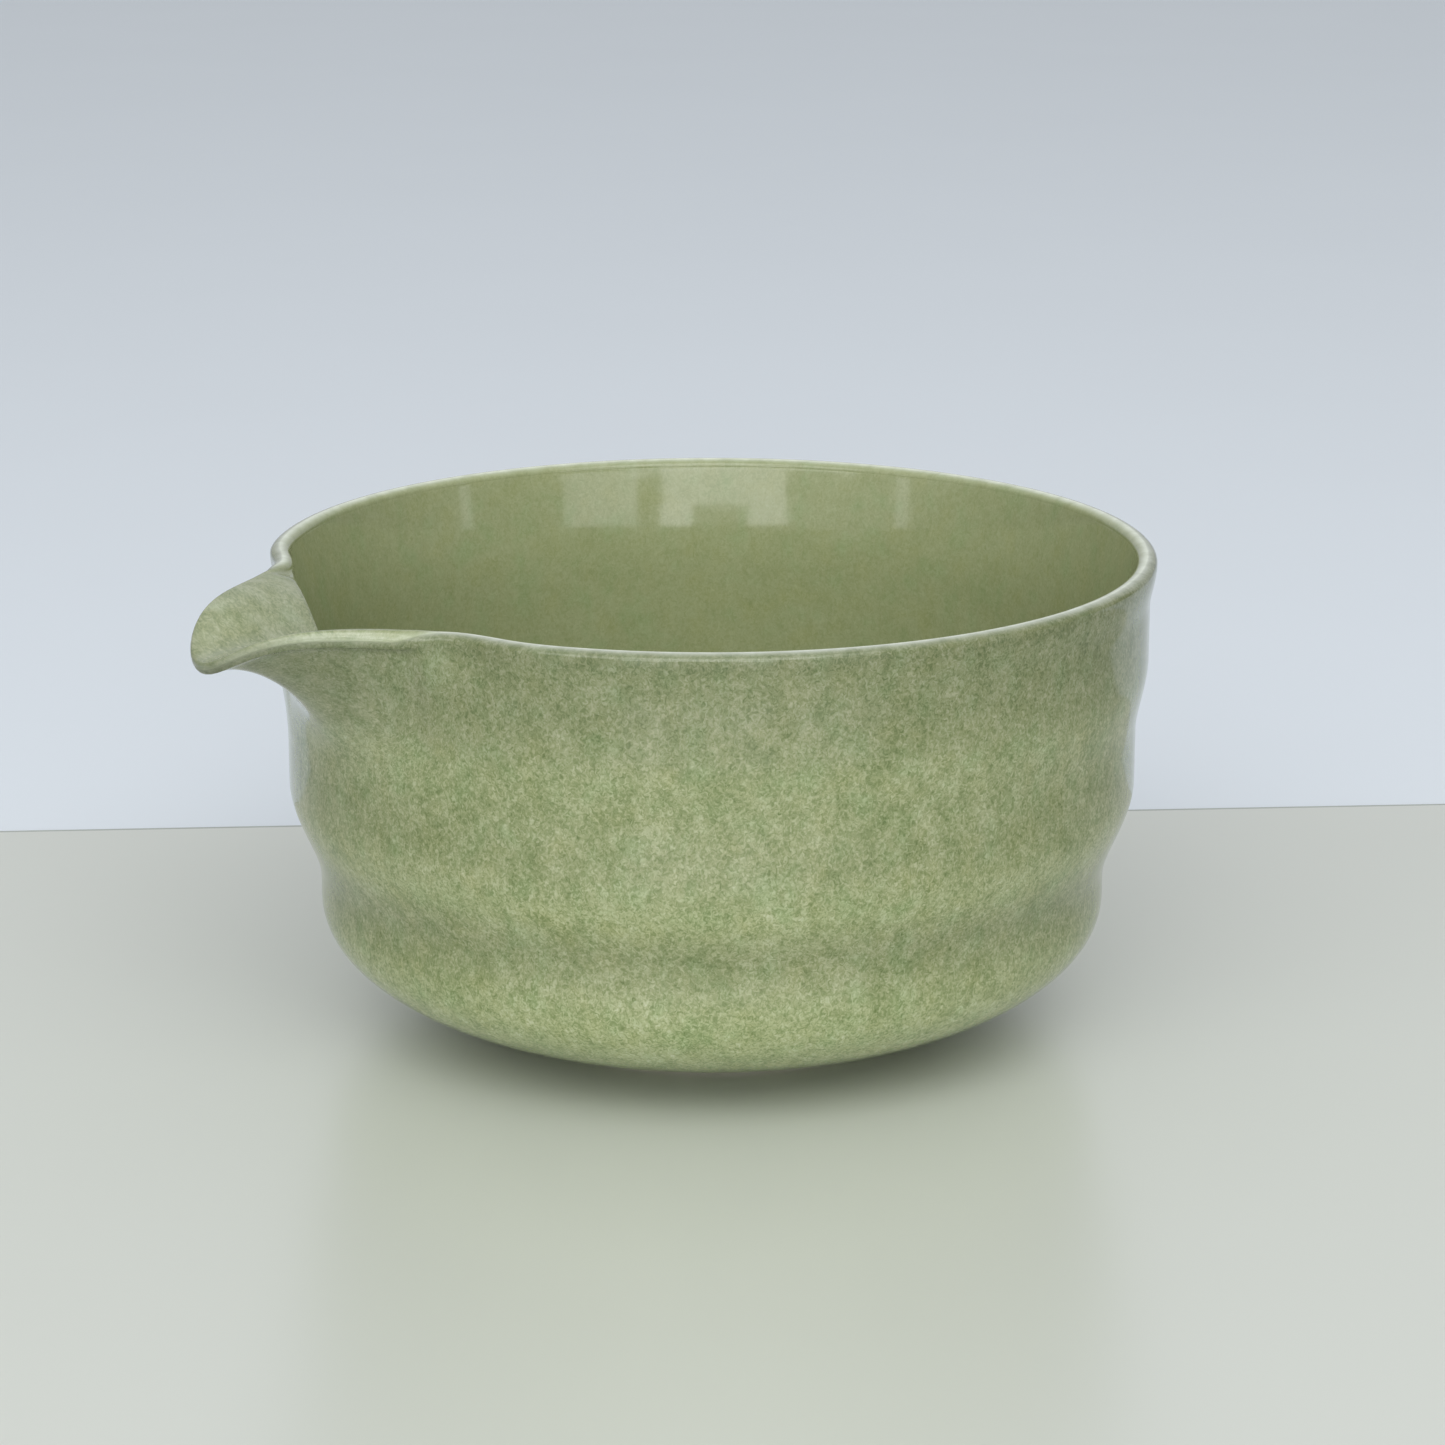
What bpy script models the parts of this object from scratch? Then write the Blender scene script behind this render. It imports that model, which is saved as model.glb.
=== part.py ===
"""Mixing bowl with a pouring spout, in glazed stoneware. Metres, +Z up.

The clay is a turned bowl, a spout let into the top of its wall, and a foot ring under its floor.
A coat of glaze covers all of it except the foot ring's tread, and a patch of glaze lines the
hollow inside the foot ring.

The bowl stands on z = 0 and its spout points along -X. The origin is the middle of the
object's footprint box, so the axis that the bowl is turned about stands at x = AXIS_X.
"""
import math

import bmesh
import bpy
import numpy as np

# Driving dimensions of the glazed bowl
RIM_RADIUS = 0.0800
HEIGHT = 0.0880
WALL = 0.0037               # glazed wall, clay and both coats of glaze
FLOOR_Z = 0.0064            # top of the glazed floor at its middle

# The wall's three bands, widest at the top, and the heights between which one eases into the next
BELLY_RADIUS = 0.0716
MIDDLE_RADIUS = 0.0769
UPPER_RADIUS = 0.0789
STEP = (0.0285, 0.0464)
GROOVE = (0.0560, 0.0692)
FLARE = (0.0792, 0.0864)

# Rounded belly: a superellipse from BELLY_Z down to the foot
BELLY_Z = 0.0248
BELLY_DEPTH = 0.0258
BELLY_POWER = 2.15

# Lip: an ellipse across the wall's top edge, thinner at the spout's tip
LIP_HALF_WIDTH = 0.0018
LIP_RISE = 0.0013
LIP_THINNING = 0.36

# Inside of the wall: upright above the step, then flared out to the lip's inner edge
INNER_FLARE_Z = 0.0670
INNER_FLARE_POWER = 1.6

# Spout, measured from the lip's ordinary place
SPOUT_REACH = 0.0237
SPOUT_DROP = 0.0071         # how far the tip hangs below the rim
NECK_DEPTH = 0.0013         # how far the rim is pinched in on both sides of the spout
NECK_ANGLE = math.radians(26.5)
NECK_SPREAD = math.radians(5.5)
SPOUT_HALF_ANGLE = math.radians(36.5)
SPOUT_NARROWNESS = 3.0      # power of the bump that draws the rim out
SHOULDER = (math.radians(20.5), math.radians(25.5))     # the bump's tail is cut off between these
DROP_SHARPNESS = 4.8        # power that keeps the drop near the tip
SPOUT_ROOT_Z = 0.0576       # where the wall starts to lean out into the spout
CHANNEL_PITCH = math.radians(4)
TIP_DROOP = math.radians(18)
ROOT_HANDLE = 0.0104        # how far the wall still runs straight up from the spout's root
TIP_HANDLE_SHARE = 0.42     # share of the overhang that runs straight behind the lip
FULL_TURN_SHARE = 0.16      # share of the reach at which the lip has turned fully outwards
CHANNEL_EDGE = (math.radians(17.5), math.radians(34.0))     # channel to plain wall, outside

# Sill: inner edge of the channel, where it turns down into the bowl
SILL_RADIUS = 0.0752
SILL_DEPTH = 0.0104
SILL_SHARPNESS = 1.9
SILL_ROUND = 0.0016
SILL_FULLNESS = 0.8
SILL_HANDLE_SHARE = 0.3
SILL_TO_LIP = (0.0001, 0.0002)      # least distance from the lip's edge, across and down
SILL_EDGE = (math.radians(21), math.radians(28))            # sill to plain wall, inside

# Foot
FOOT_RADIUS = 0.0364        # over the glaze
FOOT_WIDTH = 0.0042
CLAY_BASE_Z = 0.0026        # flat underside of the clay bowl
GLAZE_EDGE_Z = 0.0008       # the outer glaze stops here, above the bare tread
TREAD_EASE = 0.0005         # bevel on the tread's two edges

# Layers and the seams between pieces
GLAZE = 0.0004
SEAM = 0.0003
CLAY_DEPTH = GLAZE + SEAM
NOTCH_HALF_ANGLE = math.radians(42)
NOTCH_SPAN = (0.056, 0.112)         # radii that the notch's cutter lies between
NOTCH_OVERSHOOT = 0.010

# Fineness
TURNED_STEPS = 60
SPOUT_STEP = math.radians(3)
PLAIN_STEP = math.radians(6)
LEG_STEPS = 7
LIP_STEPS = 3
RISE_STEPS = 3
CORNER_STEPS = 3
CHANNEL_STEPS = 3
FLOOR_STEPS = 5
BELLY_STEPS = 4
BAND_HEIGHTS = (0.0248, 0.0330, 0.0375, 0.0420, 0.0490)
WELD = 0.00001

# Half of the spout's overhang: it centres the footprint box on the origin
AXIS_X = (SPOUT_REACH - LIP_HALF_WIDTH + LIP_RISE * (1 - LIP_THINNING)) / 2

CREAM_CLAY = (0.80, 0.76, 0.67, 1.0)
GREEN_GLAZE = (0.31, 0.36, 0.19, 1.0)
CLAY_ROUGHNESS = 0.75
GLAZE_ROUGHNESS = 0.12


def ease(value, low, high):
    """0 below low, 1 above high, and a smooth slope between them."""
    t = np.clip((value - low) / (high - low), 0.0, 1.0)
    return t * t * (3.0 - 2.0 * t)


def wall_radius(z):
    """Outer radius of the glazed wall at height z."""
    radius = BELLY_RADIUS + (MIDDLE_RADIUS - BELLY_RADIUS) * ease(z, *STEP)
    radius = radius + (UPPER_RADIUS - MIDDLE_RADIUS) * ease(z, *GROOVE)
    return radius + (RIM_RADIUS - UPPER_RADIUS) * ease(z, *FLARE)


def inner_radius(z):
    """Inner radius of the glazed wall at height z."""
    radius = BELLY_RADIUS + (MIDDLE_RADIUS - BELLY_RADIUS) * ease(z, *STEP) - WALL
    climb = np.clip((z - INNER_FLARE_Z) / (HEIGHT - LIP_RISE - INNER_FLARE_Z), 0.0, 1.0)
    flare = RIM_RADIUS - 2 * LIP_HALF_WIDTH - (MIDDLE_RADIUS - WALL)
    return radius + flare * climb**INNER_FLARE_POWER


def belly_curve(angles, radius, depth):
    """Points (r, z) of a superellipse that hangs from BELLY_Z, level at 0 and lowest at 90 degrees."""
    power = 2.0 / BELLY_POWER
    across = radius * np.cos(angles) ** power
    down = depth * np.sin(angles) ** power
    return np.column_stack([across, BELLY_Z - down])


def cubic(start, handle_a, handle_b, end, t):
    """Points of a cubic curve at the parameters t."""
    t = np.asarray(t)[:, None]
    s = 1.0 - t
    return s**3 * start + 3 * s * s * t * handle_a + 3 * s * t * t * handle_b + t**3 * end


def spout_share(psi):
    """How far the rim is drawn out at the angle psi from the spout's middle, from 0 to 1."""
    if abs(psi) >= SHOULDER[1]:
        return 0.0
    bump = math.cos(0.5 * math.pi * psi / SPOUT_HALF_ANGLE) ** (2 * SPOUT_NARROWNESS)
    return bump * (1.0 - ease(abs(psi), *SHOULDER))


def lip_frame(psi):
    """Lip centre, the way the wall is heading there, the way its outside faces, and its half sizes."""
    share = spout_share(psi)
    neck = NECK_DEPTH * math.exp(-((abs(psi) - NECK_ANGLE) / NECK_SPREAD) ** 2)
    half_width = LIP_HALF_WIDTH * (1 - LIP_THINNING * share)
    rise = LIP_RISE * (1 - LIP_THINNING * share)
    turned = ease(share, 0.0, FULL_TURN_SHARE)
    crest = rise + (half_width - rise) * turned
    centre = np.array([
        RIM_RADIUS - LIP_HALF_WIDTH - neck + SPOUT_REACH * share,
        HEIGHT - crest - SPOUT_DROP * share**DROP_SHARPNESS,
    ])
    pitch = math.pi / 2 + (CHANNEL_PITCH - math.pi / 2) * turned - TIP_DROOP * share**3
    heading = np.array([math.cos(pitch), math.sin(pitch)])
    outward = np.array([math.sin(pitch), -math.cos(pitch)])
    return centre, heading, outward, half_width, rise


def outer_leg(psi):
    """Outside of the wall from the spout's root to the lip: plain, or swept out under the spout."""
    centre, heading, outward, half_width, _ = lip_frame(psi)
    end = centre + outward * half_width
    t = np.linspace(0, 1, LEG_STEPS + 1)
    z = SPOUT_ROOT_Z + (end[1] - SPOUT_ROOT_Z) * t
    plain = np.column_stack([wall_radius(z), z])
    plain = plain + (end - plain[-1]) * ease(t, 0.0, 1.0)[:, None] ** 2
    start = plain[0]
    handle_a = start + np.array([0.0, ROOT_HANDLE])
    handle_b = end - heading * TIP_HANDLE_SHARE * (end[0] - start[0])
    swept = cubic(start, handle_a, handle_b, end, t)
    return swept + (plain - swept) * ease(abs(psi), *CHANNEL_EDGE)


def inner_leg(psi):
    """Inside of the wall from the spout's root to the lip, over the sill where there is a channel."""
    share = spout_share(psi)
    centre, heading, outward, half_width, _ = lip_frame(psi)
    end = centre - outward * half_width
    plain = ease(abs(psi), *SILL_EDGE)
    sill_z = min(HEIGHT - LIP_HALF_WIDTH - SILL_DEPTH * share**SILL_SHARPNESS, end[1] - SILL_TO_LIP[1])
    below_z = sill_z - SILL_ROUND
    sill_r = SILL_RADIUS + (inner_radius(sill_z) - SILL_RADIUS) * plain
    below_r = sill_r - (inner_radius(sill_z) - inner_radius(below_z)) * plain
    sill = np.array([min(sill_r, end[0] - SILL_TO_LIP[0]), sill_z])
    below = np.array([below_r, below_z])

    # Up the bowl's inside, with a smooth lean towards the sill
    t = np.linspace(0, 1, RISE_STEPS, endpoint=False)
    z = SPOUT_ROOT_Z + (below_z - SPOUT_ROOT_Z) * t
    rise = np.column_stack([inner_radius(z) + (below_r - inner_radius(below_z)) * ease(t, 0.0, 1.0), z])

    # Round the sill's corner, then out along the channel to the lip
    aim = end - heading * TIP_HANDLE_SHARE * (end[0] - sill[0]) - sill
    length = np.linalg.norm(aim)
    aim = aim / length
    beyond = sill + aim * min(SILL_ROUND, 0.5 * length)
    corner = cubic(below, below + (sill - below) * SILL_FULLNESS,
                   beyond + (sill - beyond) * SILL_FULLNESS, beyond,
                   np.linspace(0, 1, CORNER_STEPS, endpoint=False))
    run = np.linalg.norm(end - beyond)
    channel = cubic(beyond, beyond + aim * run * SILL_HANDLE_SHARE,
                    end - heading * run * TIP_HANDLE_SHARE, end,
                    np.linspace(0, 1, CHANNEL_STEPS + 1))
    return np.concatenate([rise, corner, channel])


def lip_arc(psi):
    """Rounded top edge, from the inside of the wall to the outside, without its two ends."""
    centre, heading, outward, half_width, rise = lip_frame(psi)
    turns = np.linspace(math.pi, 0.0, LIP_STEPS + 2)[1:-1]
    return np.array([centre + outward * half_width * math.cos(a) + heading * rise * math.sin(a)
                     for a in turns])


def top_section(psi):
    """Glazed surface above the spout's root: up the inside, over the lip and down the outside."""
    return np.concatenate([inner_leg(psi), lip_arc(psi), outer_leg(psi)[::-1]])


def foot_angle():
    """Angle at which the belly's curve reaches the foot."""
    return math.acos((FOOT_RADIUS / BELLY_RADIUS) ** (BELLY_POWER / 2.0))


def full_section(psi):
    """Glazed surface from the floor's middle, up and over the lip, and down to the glaze's edge."""
    bands = np.array(BAND_HEIGHTS)
    floor = belly_curve(np.linspace(math.pi / 2, 0, FLOOR_STEPS, endpoint=False),
                        BELLY_RADIUS - WALL, BELLY_Z - FLOOR_Z)
    floor[0, 0] = 0.0
    inside = np.column_stack([inner_radius(bands), bands])
    outside = np.column_stack([wall_radius(bands), bands])[::-1]
    belly = belly_curve(np.linspace(0, foot_angle(), BELLY_STEPS + 1)[1:], BELLY_RADIUS, BELLY_DEPTH)
    foot = np.array([[FOOT_RADIUS, GLAZE_EDGE_Z]])
    return np.concatenate([floor, inside, top_section(psi), outside, belly, foot])


def on_bowl(psi, points):
    """Place section points (r, z) at the angle psi from the spout's middle."""
    r, z = points[:, 0], points[:, 1]
    return np.column_stack([AXIS_X - r * math.cos(psi), -r * math.sin(psi), z])


def surface_normals(grid, closed):
    """Unit normals of a grid of points, which face the air and away from the clay."""
    if closed:
        along = np.roll(grid, -1, axis=0) - np.roll(grid, 1, axis=0)
    else:
        along = np.gradient(grid, axis=0)
    across = np.gradient(grid, axis=1)
    normal = np.cross(across, along)
    return normal / np.maximum(np.linalg.norm(normal, axis=2, keepdims=True), 1e-12)


def ring_angles():
    """Angles round the bowl, closer together across the spout."""
    near_count = round(NOTCH_HALF_ANGLE / SPOUT_STEP)
    near = np.arange(-near_count, near_count) * SPOUT_STEP
    edge = near_count * SPOUT_STEP
    far_count = round((2 * math.pi - 2 * edge) / PLAIN_STEP)
    far = np.linspace(edge, 2 * math.pi - edge, far_count, endpoint=False)
    return np.concatenate([near, far])


def new_object(name, collection, material):
    """An empty mesh object in a collection, with its material."""
    mesh = bpy.data.meshes.new(name)
    if material:
        mesh.materials.append(material)
    obj = bpy.data.objects.new(name, mesh)
    collection.objects.link(obj)
    return obj


def new_material(name, colour, roughness):
    """A Principled material with a plain colour."""
    material = bpy.data.materials.new(name)
    material.use_nodes = True
    shader = material.node_tree.nodes["Principled BSDF"]
    shader.inputs["Base Color"].default_value = colour
    shader.inputs["Roughness"].default_value = roughness
    shader.inputs["Metallic"].default_value = 0.0
    return material


def write_mesh(obj, build):
    """Fill an object's mesh with what build(bm) makes, shaded smooth."""
    bm = bmesh.new()
    build(bm)
    bm.normal_update()
    bm.to_mesh(obj.data)
    bm.free()
    obj.data.shade_smooth()


def turn(obj, profile):
    """Turn a profile of (r, z) points, from the top axis point to the bottom one, into a solid."""
    def build(bm):
        verts = [bm.verts.new((r, 0.0, z)) for r, z in profile]
        for a, b in zip(verts, verts[1:]):
            bm.edges.new((a, b))

    write_mesh(obj, build)
    obj.location.x = AXIS_X
    screw = obj.modifiers.new("turn", "SCREW")
    screw.steps = TURNED_STEPS
    screw.render_steps = TURNED_STEPS
    screw.use_merge_vertices = True
    screw.merge_threshold = WELD


def offset_profile(points, depth):
    """Move a section's points into the clay by depth, square to the section's line."""
    along = np.gradient(points, axis=0)
    normal = np.column_stack([-along[:, 1], along[:, 0]])
    normal /= np.linalg.norm(normal, axis=1, keepdims=True)
    return points - normal * depth


def clay_body(collection, material):
    """Turned bowl of clay: floor, belly and banded wall, with a notch for the spout."""
    glazed = full_section(math.pi)[:-2]
    clay = offset_profile(glazed, CLAY_DEPTH)
    clay[0, 0] = 0.0
    above_base = clay[clay[:, 1] > CLAY_BASE_Z]
    seat = np.array([[FOOT_RADIUS - CLAY_DEPTH, CLAY_BASE_Z], [0.0, CLAY_BASE_Z]])
    obj = new_object("clay_body", collection, material)
    turn(obj, np.concatenate([above_base, seat]))
    return obj


def spout_notch(collection):
    """Wedge that cuts the spout's place out of the top of the wall."""
    inner, outer = NOTCH_SPAN
    half_angle = NOTCH_HALF_ANGLE + SEAM / RIM_RADIUS
    low, high = SPOUT_ROOT_Z - SEAM, HEIGHT + NOTCH_OVERSHOOT
    obj = new_object("spout_notch", collection, None)

    def build(bm):
        bmesh.ops.create_cube(bm, size=2.0)
        for vert in bm.verts:
            r = outer if vert.co.x < 0 else inner
            psi = half_angle if vert.co.y < 0 else -half_angle
            vert.co = (AXIS_X - r * math.cos(psi), -r * math.sin(psi), high if vert.co.z > 0 else low)

    write_mesh(obj, build)
    obj.hide_render = True
    obj.display_type = "WIRE"
    return obj


def cut(obj, cutter):
    """Take a cutter's shape out of an object."""
    boolean = obj.modifiers.new("notch", "BOOLEAN")
    boolean.operation = "DIFFERENCE"
    boolean.solver = "EXACT"
    boolean.object = cutter


def pouring_spout(collection, material):
    """Clay spout: the stretch of wall between the notch's sides, drawn out into a channel."""
    count = round(2 * NOTCH_HALF_ANGLE / SPOUT_STEP)
    angles = np.linspace(-NOTCH_HALF_ANGLE, NOTCH_HALF_ANGLE, count + 1)
    grid = np.array([on_bowl(psi, top_section(psi)) for psi in angles])
    grid = grid - surface_normals(grid, closed=False) * CLAY_DEPTH
    obj = new_object("pouring_spout", collection, material)

    def build(bm):
        rows = [[bm.verts.new(point) for point in section] for section in grid]
        for row, following in zip(rows, rows[1:]):
            for k in range(len(row)):
                j = (k + 1) % len(row)
                bm.faces.new((row[k], row[j], following[j], following[k]))
        bm.faces.new(rows[0][::-1])
        bm.faces.new(rows[-1])

    write_mesh(obj, build)
    return obj


def foot_ring(collection, material):
    """Clay ring that the bowl stands on, with a bare tread whose edges are eased."""
    outer = FOOT_RADIUS - CLAY_DEPTH
    inner = FOOT_RADIUS - FOOT_WIDTH
    top = CLAY_BASE_Z - SEAM
    profile = [(inner, top), (outer, top), (outer, TREAD_EASE), (outer - TREAD_EASE, 0.0),
               (inner + TREAD_EASE, 0.0), (inner, TREAD_EASE), (inner, top)]
    obj = new_object("foot_ring", collection, material)
    turn(obj, profile)
    return obj


def glaze_coat(collection, material):
    """Glaze over the inside, the lip, the spout and the outside, as one skin."""
    angles = ring_angles()
    grid = np.array([on_bowl(psi, full_section(psi)) for psi in angles])
    obj = new_object("glaze_coat", collection, material)

    def build(bm):
        middle = bm.verts.new(grid[0][0])
        rows = [[bm.verts.new(point) for point in section[1:]] for section in grid]
        for row, following in zip(rows, rows[1:] + rows[:1]):
            bm.faces.new((middle, row[0], following[0]))
            for k in range(len(row) - 1):
                bm.faces.new((row[k], row[k + 1], following[k + 1], following[k]))

    write_mesh(obj, build)
    solidify = obj.modifiers.new("coat", "SOLIDIFY")
    solidify.thickness = GLAZE
    solidify.offset = -1.0
    return obj


def base_glaze(collection, material):
    """Disc of glaze on the underside, inside the foot ring."""
    radius = FOOT_RADIUS - FOOT_WIDTH - SEAM
    top = CLAY_BASE_Z - SEAM
    profile = [(0.0, top), (radius, top), (radius, top - GLAZE), (0.0, top - GLAZE)]
    obj = new_object("base_glaze", collection, material)
    turn(obj, profile)
    return obj


def clear_scene():
    """Remove what the scene starts with."""
    for obj in list(bpy.data.objects):
        bpy.data.objects.remove(obj, do_unlink=True)


def main():
    clear_scene()
    scene_root = bpy.context.scene.collection
    bowl = bpy.data.collections.new("mixing_bowl")
    cutters = bpy.data.collections.new("cutters")
    scene_root.children.link(bowl)
    scene_root.children.link(cutters)
    clay = new_material("bare_clay", CREAM_CLAY, CLAY_ROUGHNESS)
    glaze = new_material("green_glaze", GREEN_GLAZE, GLAZE_ROUGHNESS)
    cut(clay_body(bowl, clay), spout_notch(cutters))
    pouring_spout(bowl, clay)
    foot_ring(bowl, clay)
    glaze_coat(bowl, glaze)
    base_glaze(bowl, glaze)


main()
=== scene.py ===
"""Looks of the mixing bowl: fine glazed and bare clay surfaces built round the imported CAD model.

Every piece repeats the CAD's section of the bowl at a finer step. Metres, +Z up, with the spout
along -X and the turned axis at x = AXIS_X.
"""
import math

import bmesh
import bpy
import numpy as np
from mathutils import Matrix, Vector

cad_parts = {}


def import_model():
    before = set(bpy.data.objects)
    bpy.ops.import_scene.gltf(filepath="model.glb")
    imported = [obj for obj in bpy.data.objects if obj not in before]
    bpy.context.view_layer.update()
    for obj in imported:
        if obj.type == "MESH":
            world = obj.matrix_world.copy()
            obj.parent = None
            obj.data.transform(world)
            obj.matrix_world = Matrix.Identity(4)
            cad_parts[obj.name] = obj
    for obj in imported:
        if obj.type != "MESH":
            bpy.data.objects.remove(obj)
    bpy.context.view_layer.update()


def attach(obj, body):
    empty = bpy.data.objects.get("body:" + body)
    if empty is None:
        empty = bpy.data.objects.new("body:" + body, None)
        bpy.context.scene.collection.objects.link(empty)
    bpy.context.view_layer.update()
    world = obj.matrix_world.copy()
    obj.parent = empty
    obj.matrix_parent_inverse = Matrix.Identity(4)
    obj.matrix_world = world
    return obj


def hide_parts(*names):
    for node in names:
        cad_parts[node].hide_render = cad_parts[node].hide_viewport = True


# The bowl, as in the CAD model
RIM_RADIUS = 0.0800
HEIGHT = 0.0880
WALL = 0.0037
FLOOR_Z = 0.0064
BELLY_RADIUS = 0.0716
MIDDLE_RADIUS = 0.0769
UPPER_RADIUS = 0.0789
STEP = (0.0285, 0.0464)
GROOVE = (0.0560, 0.0692)
FLARE = (0.0792, 0.0864)
BELLY_Z = 0.0248
BELLY_DEPTH = 0.0258
BELLY_POWER = 2.15
LIP_HALF_WIDTH = 0.0018
LIP_RISE = 0.0013
LIP_THINNING = 0.36
INNER_FLARE_Z = 0.0670
INNER_FLARE_POWER = 1.6
SPOUT_REACH = 0.0237
SPOUT_DROP = 0.0071
NECK_DEPTH = 0.0013
NECK_ANGLE = math.radians(26.5)
NECK_SPREAD = math.radians(5.5)
SPOUT_HALF_ANGLE = math.radians(36.5)
SPOUT_NARROWNESS = 3.0
SHOULDER = (math.radians(20.5), math.radians(25.5))
DROP_SHARPNESS = 4.8
SPOUT_ROOT_Z = 0.0576
CHANNEL_PITCH = math.radians(4)
TIP_DROOP = math.radians(18)
ROOT_HANDLE = 0.0104
TIP_HANDLE_SHARE = 0.42
FULL_TURN_SHARE = 0.16
CHANNEL_EDGE = (math.radians(17.5), math.radians(34.0))
SILL_RADIUS = 0.0752
SILL_DEPTH = 0.0104
SILL_SHARPNESS = 1.9
SILL_ROUND = 0.0016
SILL_FULLNESS = 0.8
SILL_HANDLE_SHARE = 0.3
SILL_TO_LIP = (0.0001, 0.0002)
SILL_EDGE = (math.radians(21), math.radians(28))
FOOT_RADIUS = 0.0364
FOOT_WIDTH = 0.0042
CLAY_BASE_Z = 0.0026
GLAZE_EDGE_Z = 0.0008
GLAZE = 0.0004
SEAM = 0.0003
CLAY_DEPTH = GLAZE + SEAM
NOTCH_HALF_ANGLE = math.radians(42)
NOTCH_SPAN = (0.056, 0.112)
NOTCH_HEADROOM = 0.01
AXIS_X = (SPOUT_REACH - LIP_HALF_WIDTH + LIP_RISE * (1 - LIP_THINNING)) / 2

# Fineness
SPOUT_STEP = math.radians(0.75)
PLAIN_STEP = math.radians(1.5)
TURNED_STEPS = 192
LEG_STEPS = 34
LIP_STEPS = 13
RISE_STEPS = 14
CORNER_STEPS = 8
CHANNEL_STEPS = 18
FLOOR_STEPS = 30
BELLY_STEPS = 26
BAND_STEPS = 30

# Clay: rounding of the foot's tread, and how fine it and the base glaze's edge are
TREAD_ROUND = 0.0007
TREAD_STEPS = 7
BASE_EDGE_STEPS = 6

# Least distance between the clay's last belly point and its seat, and between a turned
# surface's points, which are merged when they are closer
SEAT_MARGIN = 0.0001
MERGE_DISTANCE = 0.00001

# Glaze: how far from the lip's middle it is thin and nearly bare, with a painted sheen over the lip
# and a painted highlight along its crest, how much less it is so at the spout, how dark it is where
# it gathers at the spout's tip, and how much of a spout's height is streaked
LIP_PALENESS = 0.0014
CREST_PALENESS = 0.0009
SPOUT_COVER = 0.8
SPOUT_COVER_GAIN = 12.0
TIP_DARKNESS = 0.40
STREAK_GAIN = 3.0
STREAK_RISE = 0.016
OUTER_STREAKS = 0.35

# How much darker the outer glaze is at each height, and paler where less than nothing: pooled glaze
# in the hollows together with painted shade and painted light. All but the first pair were
# calculated from how bright the photo's wall and a render's were at 26 heights, then thinned and
# rounded, so they hold some of the room's light
POOLING_AND_PAINTED_LIGHT = (
    (0.0000, -0.30), (0.0140, -0.44), (0.0188, -0.36), (0.0211, -0.25), (0.0250, -0.08),
    (0.0285, 0.04), (0.0335, 0.04), (0.0365, -0.08), (0.0395, -0.21), (0.0418, -0.21),
    (0.0450, -0.07), (0.0485, 0.03), (0.0530, 0.05), (0.0570, 0.01), (0.0615, -0.06),
    (0.0655, -0.05), (0.0695, 0.12), (0.0770, 0.24), (0.0835, 0.20), (0.0860, 0.31),
)

# Mottle of the glaze: grain size in metres and weight of its flecks, patches and clouds; the
# weight and middle tone of the calmer mottle inside; and the size of the drift in its hue
FLECKS = (0.00065, 1.05)
PATCHES = (0.0034, 0.48)
CLOUDS = (0.0160, 0.25)
CALM = (0.28, 0.55)
DRIFT_SIZE = 0.0060
MOTTLE_STRETCH = (1.0, 1.0, 0.85)
STREAK_STRETCH = (1.0, 0.42, 1.0)

# Ranges, each as low, high, result at low and result at high: the lean of hue for the drift, how
# much the clay shows through between the patches and on them, with the lip's painted sheen and the
# crest's painted highlight, and the shade for the darkness, which is pooled glaze with painted shade
# and painted light
BLUE_SHARE = (0.52, 0.72, 0.0, 0.26)
OLIVE_SHARE = (0.48, 0.28, 0.0, 0.22)
THIN_AND_SHEEN_SHARE = (0.3, 0.7, 0.25, 0.55)
BARE_AND_HIGHLIGHT_SHARE = (0.3, 0.7, 0.60, 0.95)
RUNS_SHARE = (0.3, 0.7, 0.12, 0.38)
PAINTED_LIGHT_AND_POOL_SHADE = (-0.5, 0.5, 1.5, 0.5)

# Surface of the glaze: range of its roughness, its gloss, the size of its waves, the size and
# weight of its pits, and the strength and depth of the bump
GLAZE_ROUGHNESS = (0.2, 0.8, 0.065, 0.115)
GLAZE_SPECULAR = 0.5
GLAZE_IOR = 1.52
WAVE_SIZE = 0.0090
PITS = (0.0011, 0.035)
GLAZE_BUMP = (0.25, 0.00018)

# Surface of the bare clay: the same, with the size of its grain and stains and how far they show
GRAIN_SIZE = 0.0006
STAIN_SIZE = 0.0080
STAIN_SHARE = (0.3, 0.7, 0.0, 1.0)
SPECK_SHARE = (0.66, 0.74, 0.0, 0.6)
CLAY_ROUGHNESS = (0.2, 0.8, 0.70, 0.88)
CLAY_BUMP = (0.35, 0.0001)

# Colours as 0 to 255 display values
GLAZE_TONES = (
    (0.12, (94, 110, 63)),
    (0.36, (123, 135, 91)),
    (0.52, (143, 151, 110)),
    (0.70, (162, 168, 133)),
    (0.92, (181, 184, 155)),
)
BLUE_LEAN = (222, 255, 238)
OLIVE_LEAN = (255, 247, 214)
# The thin lip's colour carries a painted sheen, and the bare crest's colour a painted highlight
THIN_GLAZE_AND_SHEEN = (190, 199, 172)
BARE_CREST_AND_HIGHLIGHT = (236, 243, 228)
SPOUT_RUNS = (172, 178, 158)
CLAY_STAINED = (222, 214, 196)
CLAY_CLEAN = (236, 230, 217)
CLAY_SPECK = (150, 128, 100)

# Camera, from the table under the bowl's axis: metres, degrees, and millimetres of lens
CAMERA_PLACE = (-0.3943, -0.6084, 0.2531)
CAMERA_DOWN = 15.29
CAMERA_AZIMUTH = -33.1
CAMERA_LENS = 102.64
CAMERA_CLIP = (0.01, 50.0)
SENSOR_WIDTH = 36.0

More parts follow.
